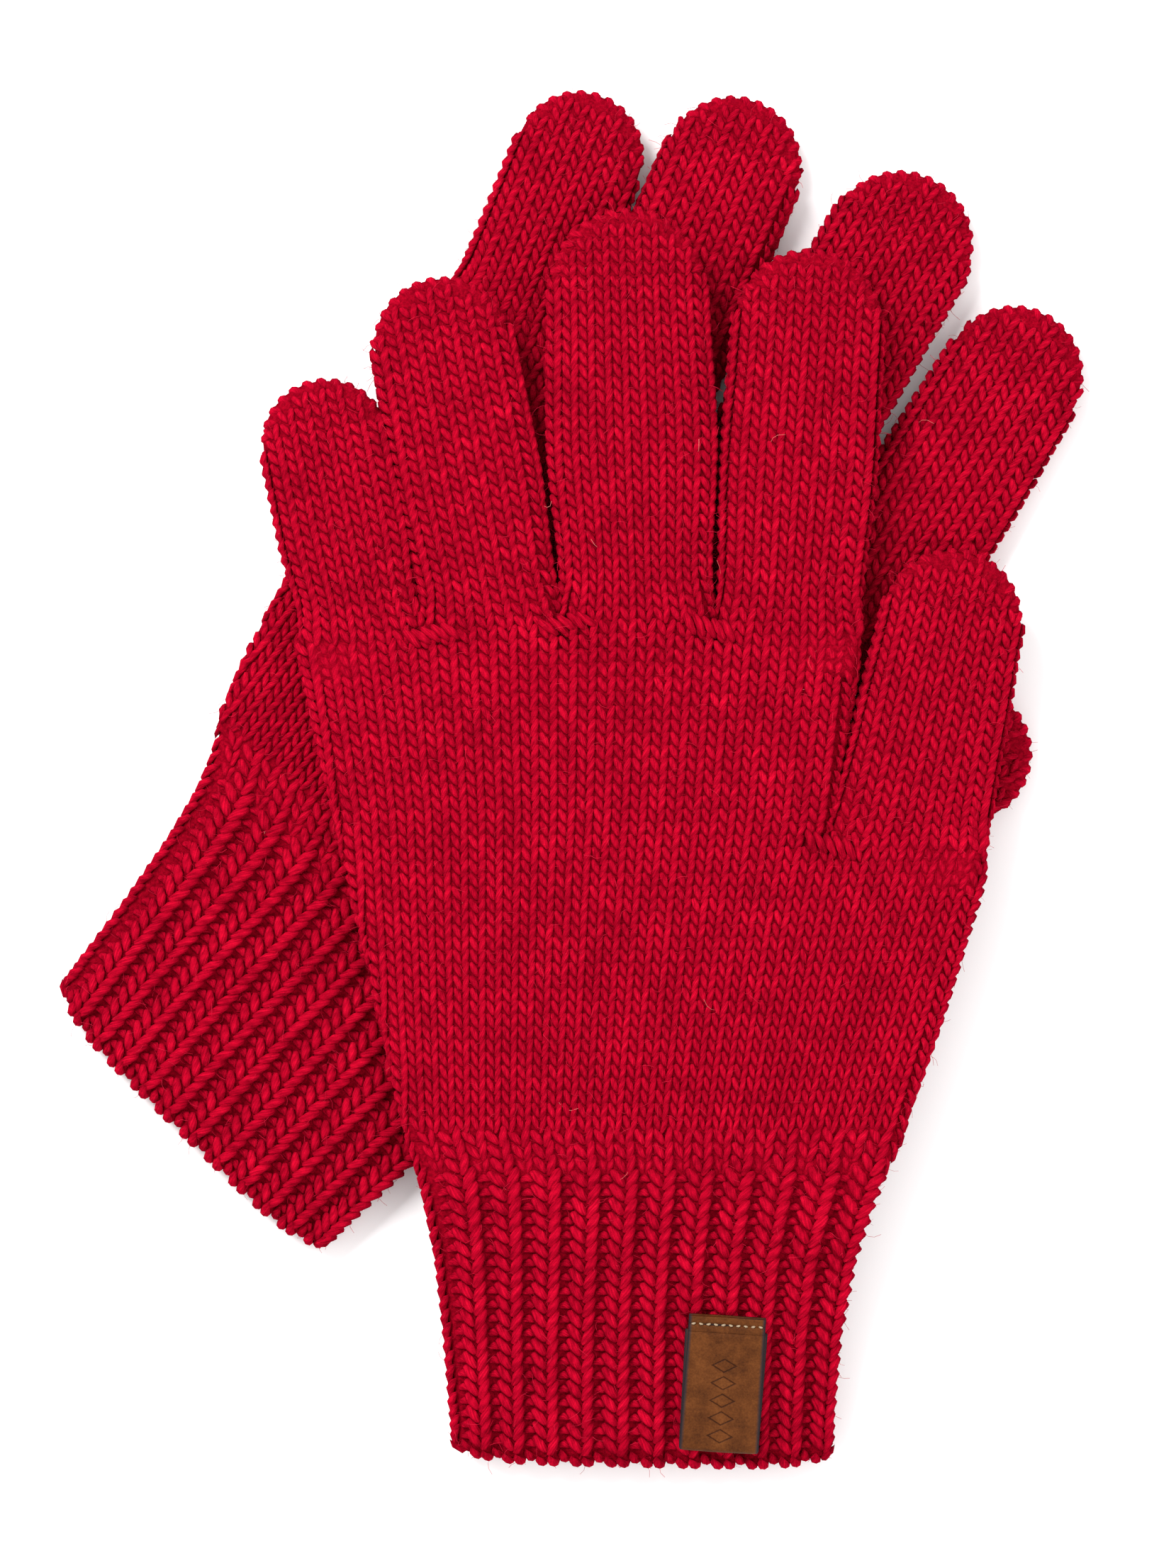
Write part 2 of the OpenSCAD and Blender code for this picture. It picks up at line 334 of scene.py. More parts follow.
def yarn_piece(path, wide, tall, steps=(0, 0.17, 0.5, 0.83, 1), fullness=(0, 0.74, 1.0, 0.78, 0)):
    """A plump length of yarn through three points, closed at both tips: its points, faces and UVs."""
    a, b, c = (np.array(p, float) for p in path)
    points, faces, uvs = [], [], []
    for t, full in zip(steps, fullness):
        bow = 2 * b - (a + c) / 2
        centre = (1 - t) ** 2 * a + 2 * t * (1 - t) * bow + t * t * c
        along = 2 * (1 - t) * (bow - a) + 2 * t * (c - bow)
        along /= np.linalg.norm(along)
        side = np.cross(along, (0, 0, 1))
        side /= np.linalg.norm(side)
        out = np.cross(side, along)
        count = 1 if full == 0 else RING_SIDES
        for k in range(count):
            turn = 2 * math.pi * k / RING_SIDES
            points.append(centre + full * (side * wide * math.cos(turn) + out * tall * math.sin(turn)))
    rings = len(steps)
    start = [0] + [1 + RING_SIDES * k for k in range(rings - 2)] + [1 + RING_SIDES * (rings - 2)]
    for ring in range(rings - 1):
        for k in range(RING_SIDES):
            nxt = (k + 1) % RING_SIDES
            low = [start[ring] + (0 if ring == 0 else i) for i in (k, nxt)]
            high = [start[ring + 1] + (0 if ring == rings - 2 else i) for i in (k, nxt)]
            loop = [(low[0], k, ring), (low[1], k + 1, ring),
                    (high[1], k + 1, ring + 1), (high[0], k, ring + 1)]
            if ring == 0:
                loop = [loop[0], loop[2], loop[3]]
            elif ring == rings - 2:
                loop = [loop[0], loop[1], loop[2]]
            faces.append([p for p, _, _ in loop])
            uvs.append([(u / RING_SIDES, steps[v]) for _, u, v in loop])
    return points, faces, uvs


def yarn_mesh(name, parts):
    """Joins yarn pieces, given in millimetres, into one mesh with a UV map."""
    points, faces, uvs = [], [], []
    for part in parts:
        base = len(points)
        points += [p * MM for p in part[0]]
        faces += [[base + i for i in f] for f in part[1]]
        uvs += part[2]
    mesh = bpy.data.meshes.new(name)
    mesh.from_pydata(points, [], faces)
    layer = mesh.uv_layers.new(name="UVMap")
    flat = [uv for face in uvs for uv in face]
    layer.data.foreach_set("uv", np.array(flat, np.float32).ravel())
    mesh.shade_smooth()
    mesh.update()
    return bpy.data.objects.new(name, mesh)


# %% [markdown]
# ### A stray fibre, and the other loops
# Wool never lies quite still: single fibres leave the yarn and bend over it. One whisker stands for them all.
# A rib, a purl, a picked-up loop at a crotch and a loop over a rim are each a short length of the same yarn.

# %% Fibre and loops
FIBRE_PATH = ((0, 0, -0.3), (0.25, 0.05, 0.45), (0.8, 0.25, 0.8), (1.6, 0.2, 0.95), (2.5, -0.2, 0.75))
FIBRE_THICK = 0.030


def fibre_piece():
    """One stray fibre that leaves the yarn and bends over it: a thin three-sided whisker."""
    points, faces, uvs = [], [], []
    for x, y, z in FIBRE_PATH:
        for k in range(3):
            turn = 2 * math.pi * k / 3
            points.append(np.array((x, y + FIBRE_THICK * math.cos(turn), z + FIBRE_THICK * math.sin(turn))))
    for ring in range(len(FIBRE_PATH) - 1):
        for k in range(3):
            a, b = ring * 3 + k, ring * 3 + (k + 1) % 3
            faces.append([a, a + 3, b + 3, b])
            uvs.append([(0, 0)] * 4)
    last = 3 * len(FIBRE_PATH)
    faces += [[0, 1, 2], [last - 1, last - 2, last - 3]]
    uvs += [[(0, 0)] * 3] * 2
    return points, faces, uvs


def leg(path, wide, tall):
    """One leg of a V, along points given in shares of a wale and of a course."""
    return yarn_piece([(x * WALE, y * COURSE, z) for x, y, z in path], wide, tall)


LEFT_LEG = [(-0.54, 0.72, -0.62), (-0.29, 0.10, 0.26), (0.03, -0.60, -0.50)]
RIGHT_LEG = [(0.04, -0.92, -0.50), (0.20, 0.0, 0.34), (0.36, 0.92, -0.42)]
RIB_LEFT = [(-0.62, 0.66, -1.5), (-0.33, 0.14, 0.12), (0.03, -0.62, -0.45)]
RIB_RIGHT = [(0.05, -0.90, -0.45), (0.25, 0.0, 0.34), (0.46, 0.90, -0.80)]
PURL_PATH = ((-1.9, -0.4, -0.5), (0, 0.3, 0.2), (1.9, -0.4, -0.5))
DROP_PATH = ((-1.8, 1.8, -0.9), (0, 0, 0.45), (1.8, -1.8, -0.9))
LOBE_PATH = ((-0.8, 2.5, -1.5), (0, 0, 0.42), (0.8, -2.5, -1.5))
knit_stitch = yarn_mesh("knit_stitch", [leg(LEFT_LEG, 0.70, 0.60), leg(RIGHT_LEG, 0.66, 0.60)])
rib_stitch = yarn_mesh("rib_stitch", [leg(RIB_LEFT, 0.76, 0.74), leg(RIB_RIGHT, 0.72, 0.78)])
purl_bump = yarn_mesh("purl_bump", [yarn_piece(PURL_PATH, 0.7, 0.5)])
long_drop = yarn_mesh("long_drop", [yarn_piece(DROP_PATH, 0.82, 0.8)])
tip_lobe = yarn_mesh("tip_lobe", [yarn_piece(LOBE_PATH, 1.08, 0.8)])
fibre = yarn_mesh("fibre", [fibre_piece()])
SOURCES = (knit_stitch, rib_stitch, purl_bump, long_drop, tip_lobe, fibre)
print("triangles in one stitch:", sum(len(p.vertices) - 2 for p in knit_stitch.data.polygons))


# %% [markdown]
# ## The tree that plants stitches
# Python works out where each stitch sits and which way it faces, and stores that on bare points. The tree
# puts the stitch mesh on each point, turns it a touch at random, stores a shade number, and makes it real.

# %% Planting tree
def link_chain(tree, *pairs):
    """Links each output to its input."""
    for out, into in pairs:
        tree.links.new(out, into)


def fibre_branch(tree, given, cloth):
    """Scatters stray fibres over the finished stitches, each turned its own way and of its own length."""
    new = tree.nodes.new
    scatter, plant = new("GeometryNodeDistributePointsOnFaces"), new("GeometryNodeInstanceOnPoints")
    shape, store = new("GeometryNodeObjectInfo"), new("GeometryNodeStoreNamedAttribute")
    real, paint = new("GeometryNodeRealizeInstances"), new("GeometryNodeSetMaterial")
    turn, length, shade = (new("FunctionNodeRandomValue") for _ in range(3))
    spin, as_turn = new("FunctionNodeRotateRotation"), new("FunctionNodeEulerToRotation")
    spin.rotation_space = "LOCAL"
    turn.data_type = "FLOAT_VECTOR"
    turn.inputs["Min"].default_value = (-0.35, -0.25, -3.14)
    turn.inputs["Max"].default_value = (0.35, 0.35, 3.14)
    length.data_type = shade.data_type = "FLOAT"
    length.inputs[2].default_value = 0.45
    length.inputs[3].default_value = 1.35
    store.data_type, store.domain = "FLOAT", "INSTANCE"
    store.inputs["Name"].default_value = "tint"
    link_chain(
        tree,
        (cloth, scatter.inputs["Mesh"]), (given.outputs["Fibre Density"], scatter.inputs["Density"]),
        (given.outputs["Seed"], scatter.inputs["Seed"]), (scatter.outputs["Points"], plant.inputs["Points"]),
        (given.outputs["Fibre"], shape.inputs["Object"]),
        (shape.outputs["Geometry"], plant.inputs["Instance"]),
        (turn.outputs[0], as_turn.inputs[0]), (scatter.outputs["Rotation"], spin.inputs["Rotation"]),
        (as_turn.outputs[0], spin.inputs["Rotate By"]), (spin.outputs[0], plant.inputs["Rotation"]),
        (length.outputs[1], plant.inputs["Scale"]), (plant.outputs[0], store.inputs["Geometry"]),
        (shade.outputs[1], store.inputs["Value"]), (store.outputs[0], real.inputs[0]),
        (real.outputs[0], paint.inputs["Geometry"]),
        (given.outputs["Fibre Finish"], paint.inputs["Material"]))
    return paint.outputs[0]


# %% [markdown]
# ### The tree itself
# A stored turn and a stored size come with each point. The tree joins the planted stitches with the fibres
# that stand on them, after it has made both real, because an exported model can't hold instances.

# %% Tree of stitches and fibres
def planting_tree():
    """Builds the node tree: points in, one mesh of real stitches and fibres out."""
    tree = bpy.data.node_groups.new("Plant on points", "GeometryNodeTree")
    face = tree.interface
    for name, kind in (("Sites", "NodeSocketGeometry"), ("Shape", "NodeSocketObject"),
                       ("Finish", "NodeSocketMaterial"), ("Unevenness", "NodeSocketFloat"),
                       ("Seed", "NodeSocketInt"), ("Fibre", "NodeSocketObject"),
                       ("Fibre Finish", "NodeSocketMaterial"), ("Fibre Density", "NodeSocketFloat")):
        face.new_socket(name, in_out="INPUT", socket_type=kind)
    face.new_socket("Mesh", in_out="OUTPUT", socket_type="NodeSocketGeometry")
    new = tree.nodes.new
    given, result = new("NodeGroupInput"), new("NodeGroupOutput")
    turn, size = new("GeometryNodeInputNamedAttribute"), new("GeometryNodeInputNamedAttribute")
    for node, name in ((turn, "turn"), (size, "size")):
        node.data_type = "FLOAT_VECTOR"
        node.inputs["Name"].default_value = name
    plant, shape = new("GeometryNodeInstanceOnPoints"), new("GeometryNodeObjectInfo")
    as_turn, nudge = new("FunctionNodeEulerToRotation"), new("FunctionNodeEulerToRotation")
    spin = new("FunctionNodeRotateRotation")
    spin.rotation_space = "LOCAL"
    chance, low = new("FunctionNodeRandomValue"), new("ShaderNodeMath")
    low.operation = "MULTIPLY"
    low.inputs[1].default_value = -1.0
    chance.data_type = "FLOAT_VECTOR"
    shade = new("FunctionNodeRandomValue")
    shade.data_type = "FLOAT"
    store, real, paint = (new("GeometryNodeStoreNamedAttribute"), new("GeometryNodeRealizeInstances"),
                          new("GeometryNodeSetMaterial"))
    store.data_type, store.domain = "FLOAT", "INSTANCE"
    store.inputs["Name"].default_value = "tint"
    link_chain(
        tree,
        (given.outputs["Sites"], plant.inputs["Points"]), (given.outputs["Shape"], shape.inputs["Object"]),
        (shape.outputs["Geometry"], plant.inputs["Instance"]),
        (turn.outputs[0], as_turn.inputs[0]), (given.outputs["Unevenness"], low.inputs[0]),
        (low.outputs[0], chance.inputs["Min"]), (given.outputs["Unevenness"], chance.inputs["Max"]),
        (given.outputs["Seed"], chance.inputs["Seed"]), (chance.outputs["Value"], nudge.inputs[0]),
        (as_turn.outputs[0], spin.inputs["Rotation"]), (nudge.outputs[0], spin.inputs["Rotate By"]),
        (spin.outputs[0], plant.inputs["Rotation"]), (size.outputs[0], plant.inputs["Scale"]),
        (plant.outputs[0], store.inputs["Geometry"]), (given.outputs["Seed"], shade.inputs["Seed"]),
        (shade.outputs[1], store.inputs["Value"]), (store.outputs[0], real.inputs[0]),
        (real.outputs[0], paint.inputs["Geometry"]), (given.outputs["Finish"], paint.inputs["Material"]))
    fuzz = fibre_branch(tree, given, real.outputs[0])
    join = new("GeometryNodeJoinGeometry")
    link_chain(tree, (fuzz, join.inputs[0]), (paint.outputs[0], join.inputs[0]),
               (join.outputs[0], result.inputs["Mesh"]))
    return tree


# %% [markdown]
# ### Running the tree
# A modifier runs the tree on a mesh of bare points. Its inputs are set by the socket's identifier before the
# object is first evaluated, and the result is copied into a plain mesh, so no modifier is left on a piece.

# %% Planting
def run_tree(holder, tree, values):
    """Runs a tree on an object and returns the plain mesh that comes out of it."""
    modifier = holder.modifiers.new("Make", "NODES")
    modifier.node_group = tree
    for item in tree.interface.items_tree:
        if item.in_out == "INPUT" and item.name in values:
            modifier[item.identifier] = values[item.name]
    scene.collection.objects.link(holder)
    graph = bpy.context.evaluated_depsgraph_get()
    graph.update()
    mesh = bpy.data.meshes.new_from_object(holder.evaluated_get(graph))
    bpy.data.objects.remove(holder)
    return mesh


PLANT = planting_tree()
FIBRES_PER_M2 = 70000.0


def plant(name, sites, shape, finish=YARN, uneven=0.05, seed=1, fibres=FIBRES_PER_M2):
    """Makes one piece from sites: each is a point, a right, an up and an outward direction, and a size."""
    cloud = bpy.data.meshes.new(name + "_sites")
    cloud.from_pydata([Vector(s[0]) * MM for s in sites], [], [])
    turns, sizes = [], []
    for _, right, up, out, size in sites:
        turns += list(Matrix((right, up, out)).transposed().to_euler())
        sizes += list(size)
    for key, values in (("turn", turns), ("size", sizes)):
        cloud.attributes.new(key, "FLOAT_VECTOR", "POINT").data.foreach_set("vector", values)
    values = {"Shape": shape, "Finish": finish, "Unevenness": uneven, "Seed": seed, "Fibre": fibre,
              "Fibre Finish": FIBRE, "Fibre Density": fibres}
    mesh = run_tree(bpy.data.objects.new(name + "_sites", cloud), PLANT, values)
    piece = bpy.data.objects.new(name, mesh)
    scene.collection.objects.link(piece)
    return piece


for source in SOURCES:
    scene.collection.objects.link(source)
print("planting tree nodes:", len(PLANT.nodes))

# %% [markdown]
# ## Where things are on a glove
# Both gloves are worked out in one glove frame, in millimetres: y runs from the cuff to the fingertips. Then
# the lower glove is turned and moved, and the upper one is lifted onto it, where the frame's bodies lie. A
# finger's root is given by its place and by how far the finger leans to the left, in degrees.

# %% Places
CENTRE = np.array((1.13, 0.95))
LOWER_TURN = math.radians(41)
LOWER_MOVE = np.array((-25.5, 30.5))
LOWER_MID = 4.4
UPPER_MID = 13.5
SLOPE_START = -66.0
SLOPE_END = -83.0
CUFF_SLOPE = math.tan(math.radians(10.09))
CUFF_LIFT = 0.9
NAMES = ("little", "ring", "middle", "index", "thumb")
UPPER_ROOTS = ((-36.6, 25, 11.5), (-13.2, 27.6, 10.6), (12.6, 29, 1.7), (39.8, 26.2, -3.9),
               (60.8, -13.5, -12))
LOWER_ROOTS = ((-36.5, 23.5, 18.8), (-10.0, 25.5, 17.8), (18, 26.5, 11.0), (47.6, 23.5, 9.4),
               (62, -16, -21.7))
HEM_Y = {"upper": -124.8, "lower": -124.0}
ROOTS = {"upper": UPPER_ROOTS, "lower": LOWER_ROOTS}


def slope_drop(y):
    """How far the upper glove's mid plane has come down at y, on its way over the wrist to the table."""
    lift = CUFF_LIFT * smooth_between(-y, ((-SLOPE_START, 0.0), (-SLOPE_END, 1.0)))
    if y > SLOPE_START:
        return 0.0, 0.0
    if y < SLOPE_END:
        half = (SLOPE_START - SLOPE_END) / 2
        return lift - CUFF_SLOPE * (SLOPE_START - half - y), CUFF_SLOPE
    t = (SLOPE_START - y) / (SLOPE_START - SLOPE_END)
    return lift - CUFF_SLOPE * t * t * (SLOPE_START - SLOPE_END) / 2, CUFF_SLOPE * t


def settle(glove, point, out):
    """Takes a point and its outward direction from the glove frame to its place in the pile."""
    x, y, z = point
    nx, ny, nz = out
    if glove == "upper":
        drop, slope = slope_drop(y)
        n = np.array((nx, ny - nz * slope, nz + ny * slope))
        return np.array((x + CENTRE[0], y + CENTRE[1], z + UPPER_MID + drop)), n / np.linalg.norm(n)
    x, y = x + LOWER_MOVE[0], y + LOWER_MOVE[1]
    c, s = math.cos(LOWER_TURN), math.sin(LOWER_TURN)
    spot = np.array((x * c + y * s + CENTRE[0], y * c - x * s + CENTRE[1], z + LOWER_MID))
    return spot, np.array((nx * c + ny * s, ny * c - nx * s, nz))


def smooth_between(x, knots):
    """A soft curve through knots: straight between them, eased at each."""
    xs, ys = zip(*knots)
    i = int(np.clip(np.searchsorted(xs, x) - 1, 0, len(xs) - 2))
    t = np.clip((x - xs[i]) / (xs[i + 1] - xs[i]), 0, 1)
    return ys[i] + (ys[i + 1] - ys[i]) * t * t * (3 - 2 * t)


def straight_between(x, knots):
    """Straight lines between knots."""
    return float(np.interp(x, [k[0] for k in knots], [k[1] for k in knots]))


def site(glove, at, rows, size):
    """One stitch site from a surface function at(offset) that gives a point and its outward direction."""
    here, out = settle(glove, *at(0))
    ahead, _ = settle(glove, *at(rows))
    up = ahead - here
    up -= out * up.dot(out)
    up /= np.linalg.norm(up)
    return here, np.cross(up, out), up, out, size


root = JOINTS["upper_index_fold"]["pos_m"]
print("upper index root, frame against here:", [round(v / MM, 2) for v in root[:2]],
      [UPPER_ROOTS[3][k] + CENTRE[k] for k in (0, 1)])


# %% [markdown]
# ### A flattened tube
# An empty glove is a tube pressed nearly flat. Its section is a superellipse: a high power gives a flat top
# with tight sides, a low power a plump oval. A stitch goes round it by length of cloth, not by width.

# %% Sections
TABLE_STEPS = 400


def section_point(a, b, power, turn):
    """A point of the outline at an angle, and the outward direction there."""
    c, s = math.cos(turn), math.sin(turn)
    reach = (abs(c) ** power + abs(s) ** power) ** (-1 / power)
    n = np.array((math.copysign(abs(c * reach) ** (power - 1), c) / a, 0.0,
                  math.copysign(abs(s * reach) ** (power - 1), s) / b))
    return (a * c * reach, b * s * reach), n / (np.linalg.norm(n) + 1e-9)


class Section:
    """The closed outline of a flattened tube, with places given by length round it from the right side."""

    def __init__(self, a, b, power):
        self.shape = (a, b, power)
        turns = np.linspace(0, 2 * math.pi, TABLE_STEPS + 1)
        c, s = np.cos(turns), np.sin(turns)
        reach = (np.abs(c) ** power + np.abs(s) ** power) ** (-1 / power)
        self.turns = turns
        self.sums = np.concatenate(([0], np.cumsum(np.hypot(np.diff(a * c * reach), np.diff(b * s * reach)))))
        self.length = self.sums[-1]

    def at(self, distance):
        return section_point(*self.shape, np.interp(distance % self.length, self.sums, self.turns))


# %% [markdown]
# ## Fingers
# Each finger is knitted as its own tube. It starts a few rows inside the palm, so that the cloth runs on
# without a break when the finger folds, and its last rows narrow to a round tip, where the wales stay
# parallel. The widths come in order from the little finger to the thumb.

# %% Finger shape
FINGER_LEN = {"upper": (37.2, 52.3, 60.8, 57.2, 44.0), "lower": (35.6, 51.2, 58.0, 56.4, 39.2)}
STRIP_W = {"upper": (21.8, 24.4, 27.2, 26.0, 28.4), "lower": (24.4, 27.0, 26.6, 26.2, 28.0)}
MID_W = {"upper": (22.4, 24.8, 29.0, 26.6, 25.6), "lower": (22.6, 24.8, 25.6, 25.0, 24.8)}
TIP_R = {"upper": (11.2, 12.1, 13.7, 12.9, 12.1), "lower": (11.3, 12.1, 12.9, 12.1, 12.5)}
STRIP_START = -6.0
FINGER_B = 3.0
SQUARE_UP = 14.0


class Finger:
    """A finger's tube: how wide it is at each height, and where its points lie on the glove."""

    def __init__(self, glove, n):
        self.glove, self.n = glove, n
        self.x, self.y, lean = ROOTS[glove][n]
        self.lean = math.radians(lean)
        self.length = FINGER_LEN[glove][n]
        self.radius = TIP_R[glove][n]
        strip, mid = STRIP_W[glove][n] / 2, MID_W[glove][n] / 2
        self.widths = ((STRIP_START, strip), (0, strip - 0.1), (7, strip - 0.8), (self.length * 0.55, mid),
                       (self.length, self.radius))
        self.cache = {}

    def section(self, s):
        key = round(s, 3)
        if key not in self.cache:
            half = smooth_between(s, self.widths)
            b = FINGER_B
            if s > self.length:
                t = min((s - self.length) / self.radius, 0.995)
                half = self.radius * math.sqrt(1 - t * t)
                b = FINGER_B * (1 - t ** 4) ** 0.4
            power = smooth_between(s, ((STRIP_START, 6.0), (0, 5.0), (9, 2.8), (self.length, 2.6)))
            self.cache[key] = Section(max(half, 0.5), max(b, 0.4), power)
        return self.cache[key]

    def to_glove(self, l, s, z, n):
        """Finger rows start level with the rows of the palm and square up to the finger a little higher."""
        s -= l * math.tan(self.lean) * (1 - smooth_between(s, ((0, 0.0), (SQUARE_UP, 1.0))))
        c, k = math.cos(self.lean), math.sin(self.lean)
        return ((self.x + l * c - s * k, self.y + l * k + s * c, z),
                (n[0] * c - n[1] * k, n[0] * k + n[1] * c, n[2]))

    def local(self, x, y):
        """Across and along the finger, from a place on the glove."""
        c, k = math.cos(self.lean), math.sin(self.lean)
        dx, dy = x - self.x, y - self.y
        return dx * c + dy * k, dy * c - dx * k

    def on(self, s, share, lift=0.0):
        """The point at height s and at a share of the way round, lifted off the ground by lift."""
        ring = self.section(s)
        (x, z), n = ring.at(share * ring.length)
        return self.to_glove(x + n[0] * lift, s, z + n[2] * lift, n)


FINGERS = {g: [Finger(g, n) for n in range(5)] for g in ROOTS}
TOP_ROW = {g: sum(r[1] for r in ROOTS[g][:4]) / 4 for g in ROOTS}
print("round the upper middle finger, mm:", round(FINGERS["upper"][2].section(30).length, 1))

# %% [markdown]
# ### Where a finger's stitches go
# Rows of sites run up the finger. A stitch is widened where the cloth turns round a side, so that it still
# meets its neighbours. In the round tip the wales keep their lines, and plump loops close the rim.

# %% Finger stitches
LIFT = 0.35
CREST = 0.8
TIP_CLEAR = 2.3


def spread(left, right):
    """How wide a stitch must be to reach its neighbours, where the cloth turns round a side."""
    return math.dist(left[0], right[0]) / WALE


def first_row(f):
    """The finger's first row, one course above the last row of the palm or of the thumb's gusset."""
    if f.n < 4:
        return COURSE * 0.5
    rows = round((TOP_ROW[f.glove] - f.y) / COURSE)
    return TOP_ROW[f.glove] - rows * COURSE - f.y + COURSE * 0.5


def finger_sites(f):
    """Wales carry on from the palm at even steps round the finger, and keep their line in the tip."""
    wales = 2 * round(f.section(f.length * 0.5).length / WALE / 2)
    nearest = min(range(48), key=lambda k: abs(wale_x(k, f.y) - f.x))
    shift = (wale_x(nearest, f.y) - f.x) / WALE
    shares = [0.25 - (k + shift) / wales for k in range(wales)]
    sites = []
    s = first_row(f)
    while s < f.length:
        for share in shares:
            left, right = f.on(s, share - 0.5 / wales, CREST), f.on(s, share + 0.5 / wales, CREST)
            size = (spread(left, right), 1.0, 1.0)
            sites.append(site(f.glove, lambda d, share=share: f.on(s + d, share, LIFT), 1.0, size))
        s += COURSE
    ring = f.section(f.length)
    lines = []
    for share in shares:
        (x, z), _ = ring.at(share * ring.length)
        lines.append((x, 1 if z >= 0 else -1))
    while s < f.length + f.radius - 1.2:
        half = f.section(s + TIP_CLEAR).shape[0] if s + TIP_CLEAR < f.length + f.radius else 0
        for x, face in lines:
            if abs(x) < half:
                sites.append(site(f.glove, lambda d, x=x, face=face: tip_point(f, s + d, x, face), 0.5,
                                  (ring.length / wales / WALE, 0.85, 0.9)))
        s += COURSE
    return sites


def tip_point(f, s, x, face, lift=LIFT):
    """The point of a face of the tip that is x across the finger."""
    a, b, power = f.section(s).shape
    share = min(abs(x) / a, 0.98)
    z = face * b * (1 - share ** power) ** (1 / power)
    n = np.array((math.copysign(share ** (power - 1), x) / a, 0.25 / a,
                  face * (abs(z) / b) ** (power - 1) / b))
    n /= np.linalg.norm(n)
    return f.to_glove(x + n[0] * lift, s, z + n[2] * lift, n)


TIP_STEP = 2.5
TIP_HALF_TURN = 82
TIP_SINK = 0.55


def tip_edge_sites(f):
    """Plump loops side by side, each lying over the rim of the tip from the front face to the back."""
    sites = []
    half_turn = math.radians(TIP_HALF_TURN)
    count = int(2 * half_turn * f.radius / TIP_STEP)
    for k in range(count):
        turn = (2 * (k + 0.5) / count - 1) * half_turn
        radial = np.array((math.sin(turn), math.cos(turn), 0.0))
        along = np.array((math.cos(turn), -math.sin(turn), 0.0))
        spot = radial * (f.radius - TIP_SINK)
        here, out = settle(f.glove, *f.to_glove(spot[0], f.length + spot[1], 0.0, radial))
        _, right = settle(f.glove, *f.to_glove(spot[0], f.length + spot[1], 0.0, along))
        sites.append((here, right, np.cross(out, right), out, (1.0, 1.0, 1.0)))
    return sites


print("loops over one fingertip:", len(tip_edge_sites(FINGERS["upper"][2])))

# %% [markdown]
# ## Ground cloth
# Under the stitches lies a thin closed wall of felted wool. It has an outer and an inner face, so that the
# open cuff shows a real inside. Along the sides it stands out a little more, so that no light passes between
# the stitches there.

# %% Ground of a finger or a tube
AROUND = 64
WALL = 1.2
GROUND_LIFT = 0.2
SIDE_FILL = 0.5


def shell(name, rings_out, rings_in):
    """A closed wall from loops of points: the outer loops going up, then the inner loops coming down."""
    loops = rings_out + rings_in[::-1]
    count = len(loops[0])
    points = [Vector(p) * MM for loop in loops for p in loop]
    faces = []
    for r in range(len(loops)):
        nxt = (r + 1) % len(loops)
        for k in range(count):
            k2 = (k + 1) % count
            faces.append((r * count + k, r * count + k2, nxt * count + k2, nxt * count + k))
    mesh = bpy.data.meshes.new(name)
    mesh.from_pydata(points, [], faces)
    mesh.materials.append(GROUND)
    mesh.shade_smooth()
    mesh.update()
    piece = bpy.data.objects.new(name, mesh)
    scene.collection.objects.link(piece)
    return piece


def finger_ground(f):
    """The wall of one finger, closed over its tip."""
    heights = list(np.linspace(STRIP_START - 1.5, f.length, 14))
    heights += [f.length + f.radius * math.sin(t) for t in np.linspace(0.2, 1.47, 7)]
    outer, inner = [], []
    for s in heights:
        shares = [k / AROUND for k in range(AROUND)]
        outer.append([settle(f.glove, *f.on(s, share, GROUND_LIFT))[0] for share in shares])
        inner.append([settle(f.glove, *f.on(min(s, f.length + f.radius * 0.93), share, GROUND_LIFT - WALL))[0]
                      for share in shares])
    return shell(f"{f.glove}_{NAMES[f.n]}_ground", outer, inner)


# %% [markdown]
# ## The hand
# The hand widens from the wrist to the thumb and again to the knuckles. Its wales stay one stitch apart and
# fan out gently: upright in the middle, leaning with the thumb on one side and with the little finger on the
# other. At the sides they simply run round the edge to the other face.

# %% Hand shape
HAND_B = 3.1
HAND_POWER = 4.2
HAND_LEFT = {"upper": ((-70, -27.4), (-40, -34.0), (-10, -40.9), (19, -47.0), (40, -52.0)),
             "lower": ((-70, -27.2), (-64, -29.2), (-55, -32.2), (-44, -35.2), (-10, -41.9), (19, -47.5),
                       (40, -52.0))}
HAND_RIGHT_LOW = ((-70, 58.6), (-60, 61.3), (-45, 66.5), (-19, 74.6), (-10, 75.4))
HAND_RIGHT_HIGH = ((-20, 46.0), (0, 48.6), (19, 51.6), (40, 53.0))
CROTCH_X = 47.5
FAN_ROW = -6.0
FIRST_WALE = -52.0
LOW_LEAN = ((-46, -5.0), (-15, 0.0), (4, 3.0), (30, 7.0), (50, 11.5), (76, 16.5), (90, 17.0))
HIGH_LEAN = ((-46, -9.5), (-20, -4.0), (4, 1.5), (30, 5.0), (50, 6.5), (90, 7.5))


HAND_END = {g: TOP_ROW[g] - COURSE * round((TOP_ROW[g] + 64) / COURSE) for g in ROOTS}


def palm_top(glove, x):
    """The height at x where the palm ends and the fingers begin."""
    roots = ROOTS[glove][:4]
    return smooth_between(x, [(-60, roots[0][1])] + [(r[0], r[1]) for r in roots] + [(70, roots[3][1])])


def thumb_top(glove):
    """The height where the gusset ends and the thumb begins."""
    thumb = FINGERS[glove][4]
    return thumb.y + first_row(thumb) - COURSE * 0.5


